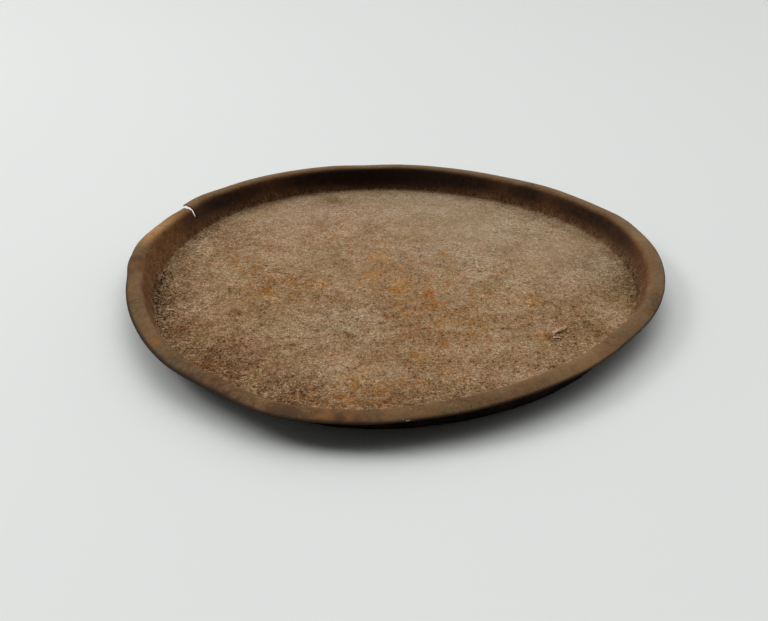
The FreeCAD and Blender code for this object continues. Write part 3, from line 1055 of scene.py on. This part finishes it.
# The thin dark crevice at the front end of the grit, and single dark crumbs, in metres. The last nine lie in
# two rows along the near edges of the scale flakes: dark crumbs put there as painted shadow under the
# flakes.
crevice = [
    (-0.1275, -0.0462), (-0.1264, -0.0482), (-0.1253, -0.0505), (-0.1241, -0.0530), (-0.1229, -0.0555),
    (-0.1219, -0.0576), (-0.1209, -0.0596), (-0.1199, -0.0616), (-0.1190, -0.0636),
]
single_and_shadow_crumbs = [
    (0.1363, -0.0210), (0.1372, -0.0200), (0.0617, -0.0945), (0.0653, -0.0205), (0.0624, -0.0555),
    (-0.0606, -0.1176), (-0.0618, -0.1192), (-0.1020, 0.0120), (0.0860, -0.0715), (0.0835, -0.0722),
    (0.0848, -0.0676), (0.0857, -0.0678), (0.0866, -0.0677), (0.0876, -0.0678), (0.0886, -0.0677),
    (0.0893, -0.0617), (0.0905, -0.0611), (0.0917, -0.0605), (0.0930, -0.0596),
]
grit_and_shadow_rows += [(x, y, single_crumb_size) for x, y in crevice + single_and_shadow_crumbs]
grit_and_shadow_mesh = crumb_mesh("corner_grit_and_flake_shadow", grit_and_shadow_rows, chance)
add_loose("corner_grit_and_flake_shadow", grit_and_shadow_mesh, crumb_rust("burnt_grit_and_flake_shadow", grit_and_shadow_dark, grit_olive))

# Pale grains. A few grains of sand and scale have stuck to the rust of the floor, the wall and the front
# lip. Like the grit, each is a small ragged lump.

# Place seen from above, and half width
pale_grain_places = [
    (-0.0834, -0.0939, 0.00050), (-0.0840, -0.0925, 0.00030), (-0.0638, -0.0756, 0.00032),
    (0.0527, -0.1005, 0.00032), (-0.1073, 0.0971, 0.00034), (-0.1027, 0.1073, 0.00030),
    (0.0868, 0.1205, 0.00042), (0.0090, -0.1491, 0.00030), (0.0071, -0.1548, 0.00038),
    (0.0080, -0.1545, 0.00030), (0.0055, -0.1545, 0.00026), (-0.0200, -0.0900, 0.00024),
    (0.0400, 0.0100, 0.00022), (-0.0700, 0.0200, 0.00022), (0.1000, 0.0500, 0.00024),
]
sand_pale = colour(0.620, 0.520, 0.400)
sand_grey = colour(0.330, 0.270, 0.200)
pale_mesh = crumb_mesh("pale_grains", pale_grain_places, chance)
add_loose("pale_grains", pale_mesh, crumb_rust("pale_sand", sand_grey, sand_pale))

# Scale flakes. Three thin flakes of rust, a large one and two small ones, have lifted off the floor at the
# front right. Each rests on its two ends, and arches off the floor between them.

flake_thickness = 0.00030
flake_columns = 22
flake_rows = 7
flake_ragged = 0.00035
flake_ragged_size = 0.0012

# How far a flake leans to the right and bulges in the middle, as shares of its reach, and how far its ends
# drop, as a share of its height
flake_lean_share = 0.18
flake_bulge_share = 0.25
flake_end_drop_share = 0.6

flake_tan = colour(0.700, 0.510, 0.340)
flake_brown = colour(0.280, 0.165, 0.080)

# Start and end of a flake's far edge, how far it reaches towards the front, and its height at the far edge,
# at the crown of its curl and at the near edge, in metres
flake_shapes = [
    (0.0855, -0.0603, 0.0943, -0.0540, 0.0024, 0.0010, 0.0013, 0.0007),
    (0.0853, -0.0648, 0.0893, -0.0655, 0.0014, 0.0006, 0.0009, 0.0007),
    (0.0854, -0.0630, 0.0864, -0.0622, 0.0014, 0.0006, 0.0012, 0.0007),
]


def flake_point(shape, along, across, drop):
    """Return a point of a flake: along its far edge, and across it to its near edge, both from 0 to 1."""
    x0, y0, x1, y1, reach, far_height, crown, near_height = shape
    bulge = 1.0 - flake_bulge_share * (1.0 - math.sin(math.pi * along))
    x = x0 + (x1 - x0) * along + flake_lean_share * reach * across
    y = y0 + (y1 - y0) * along - reach * across * bulge
    arch = 4.0 * across * (1.0 - across)
    height = far_height * (1.0 - across) + near_height * across
    height += (crown - (far_height + near_height) / 2) * arch
    height *= 1.0 - flake_end_drop_share * abs(2.0 * along - 1.0) ** 3
    ragged = noise.noise_vector(Vector((x, y, across * reach)) / flake_ragged_size) * flake_ragged
    return Vector((x, y, ground_height(x, y) + height - drop)) + ragged


flake_points = []
flake_faces = []
for shape in flake_shapes:
    grids = []
    for drop in (0.0, flake_thickness):
        first = len(flake_points)
        for row in range(flake_rows):
            for column in range(flake_columns):
                spot = flake_point(shape, column / (flake_columns - 1), row / (flake_rows - 1), drop)
                flake_points.append(spot)
        grids.append([[first + row * flake_columns + column for column in range(flake_columns)]
                      for row in range(flake_rows)])
    for grid in grids:
        for row in range(flake_rows - 1):
            for column in range(flake_columns - 1):
                flake_faces.append((grid[row][column], grid[row][column + 1], grid[row + 1][column + 1],
                                    grid[row + 1][column]))
    rims = []
    for grid in grids:
        far = grid[0]
        right = [row[-1] for row in grid[1:]]
        near = grid[-1][-2::-1]
        left = [row[0] for row in grid[-2:0:-1]]
        rims.append(far + right + near + left)
    for place in range(len(rims[0])):
        after = (place + 1) % len(rims[0])
        flake_faces.append((rims[0][place], rims[0][after], rims[1][after], rims[1][place]))

flake_mesh = bpy.data.meshes.new("scale_flakes")
flake_mesh.from_pydata(flake_points, [], flake_faces)
clean_mesh(flake_mesh)
give_tones(flake_mesh, chance)
add_loose("scale_flakes", flake_mesh, crumb_rust("lifted_scale", flake_brown, flake_tan))

# The table. A plain pale sheet of paper board that the pan stands on. It isn't part of the pan, and only
# catches its shadow.

table_size = 12.0
table_white = colour(0.742, 0.762, 0.745)

table_mesh = bpy.data.meshes.new("table")
half = table_size / 2
corners = [(-half, -half, 0), (half, -half, 0), (half, half, 0), (-half, half, 0)]
table_mesh.from_pydata(corners, [], [(0, 1, 2, 3)])
table = bpy.data.objects.new("table", table_mesh)
bpy.context.scene.collection.objects.link(table)
material, tree, shader, place = start_material("pale_board")
shader.inputs["Base Color"].default_value = table_white
shader.inputs["Roughness"].default_value = 0.9
shader.inputs["Specular IOR Level"].default_value = 0.1
table_mesh.materials.append(material)

# The camera. It looks down on the pan from half a metre in front of its middle, through a normal lens. It is
# turned and rolled by a part of a degree, as a camera in the hand is.

camera_place = Vector((0.0, -0.4539, 0.2432))
camera_pitch = math.radians(30.12)
camera_turn = math.radians(0.45)
camera_roll = math.radians(-0.39)
focal_length = 40.97

camera_data = bpy.data.cameras.new("camera")
camera_data.lens = focal_length
camera_data.sensor_width = 36.0
camera_data.sensor_fit = "HORIZONTAL"
camera_data.clip_start = 0.01
camera = bpy.data.objects.new("camera", camera_data)
turn = Matrix.Rotation(camera_turn, 4, "Z") @ Matrix.Rotation(math.pi / 2 - camera_pitch, 4, "X")
camera.matrix_world = Matrix.Translation(camera_place) @ turn @ Matrix.Rotation(camera_roll, 4, "Z")
bpy.context.scene.collection.objects.link(camera)
bpy.context.scene.camera = camera

# The light. A soft box stands high to the left, and a pale ceiling glows over the pan. A weaker glow comes
# from behind on the right, and one more from low on the left. In front the room is dark, so the inside of
# the far wall stays dark too.

box_place = Vector((-1.45, 0.28, 1.35))
box_width = 0.80
box_depth = 0.60
box_power = 10.9
ceiling_axis = (0.0, 0.24, 0.97)
ceiling_start = 0.60
ceiling_light = 1.74
right_axis = (0.66, 0.56, 0.50)
right_start = -0.10
right_light = 0.77
left_axis = (-0.95, -0.05, 0.28)
left_start = 0.55
left_light = 0.42
dark_front_end = -0.40
dark_front_start = 0.15
room_light = 0.004
below_light = 0.30
room_white = colour(1.0, 1.0, 1.0)
room_glow = 0.70

lamp_data = bpy.data.lights.new("soft_box", "AREA")
lamp_data.shape = "RECTANGLE"
lamp_data.size = box_width
lamp_data.size_y = box_depth
lamp_data.energy = box_power
lamp = bpy.data.objects.new("soft_box", lamp_data)
lamp.location = box_place
lamp.rotation_euler = box_place.to_track_quat("Z", "Y").to_euler()
bpy.context.scene.collection.objects.link(lamp)

world = bpy.data.worlds.new("room")
world.use_nodes = True
bpy.context.scene.world = world
tree = world.node_tree
direction = add_node(tree, "TexCoord", {}).outputs["Generated"]


def glow(axis, start, strength):
    """Return the light of a glow: all of its strength along its axis, and none at start or further off."""
    towards = add_node(tree, "VectorMath", {0: direction, 1: axis}, operation="DOT_PRODUCT").outputs["Value"]
    return times(tree, soft_step(tree, towards, start, 1.0), strength)


ceiling = glow(ceiling_axis, ceiling_start, ceiling_light)
right = glow(right_axis, right_start, right_light)
left = glow(left_axis, left_start, left_light)
axes = add_node(tree, "SeparateXYZ", {0: direction})
behind = soft_step(tree, axes.outputs["Y"], dark_front_end, dark_front_start)
lit = times(tree, calculate(tree, "ADD", ceiling, right), behind)
lit = calculate(tree, "ADD", calculate(tree, "ADD", lit, left), room_light)
above = calculate(tree, "GREATER_THAN", axes.outputs["Z"], 0.0)
lit = add_node(tree, "Mix", {0: above, 2: below_light, 3: lit}, data_type="FLOAT").outputs[0]
path = add_node(tree, "LightPath", {})
seen = calculate(tree, "MAXIMUM", path.outputs["Is Camera Ray"], path.outputs["Is Transmission Ray"])
strength = add_node(tree, "Mix", {0: seen, 2: lit, 3: room_glow}, data_type="FLOAT").outputs[0]
tree.links.new(strength, tree.nodes["Background"].inputs["Strength"])
tree.nodes["Background"].inputs["Color"].default_value = room_white

bpy.context.scene.view_settings.view_transform = "Standard"
